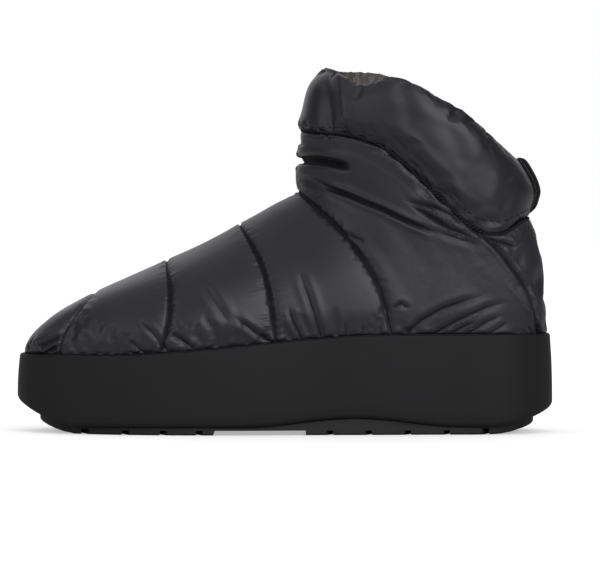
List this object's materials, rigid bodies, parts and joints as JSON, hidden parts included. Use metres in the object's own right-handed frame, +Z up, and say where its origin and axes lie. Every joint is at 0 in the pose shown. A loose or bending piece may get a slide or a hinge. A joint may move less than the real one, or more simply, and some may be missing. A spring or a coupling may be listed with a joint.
{
  "type": "quilted snow boot",
  "caption": "Low quilted nylon snow boot with a padded slouched collar, a heel pull loop and a tall platform sole with lugs, left foot.",
  "frame": {"origin": "on the floor, below the middle of the bounding box", "axes": "+X from toe to heel, +Y to the inner side of the foot, +Z up"},
  "size_m": [0.285, 0.107, 0.1949],
  "materials": {
    "outsole_rubber": "matte black lugged rubber",
    "midsole_foam": "smooth matte charcoal moulded foam rubber",
    "insole_fabric": "short dark pile",
    "shell_nylon": "glossy black quilted nylon over padding",
    "webbing": "black woven webbing"
  },
  "bodies": {
    "root": {"outsole": "outsole_rubber", "midsole": "midsole_foam", "insole": "insole_fabric", "upper": "shell_nylon", "collar": "shell_nylon", "heel_tape": "webbing", "pull_loop": "webbing"}
  },
  "joints": []
}
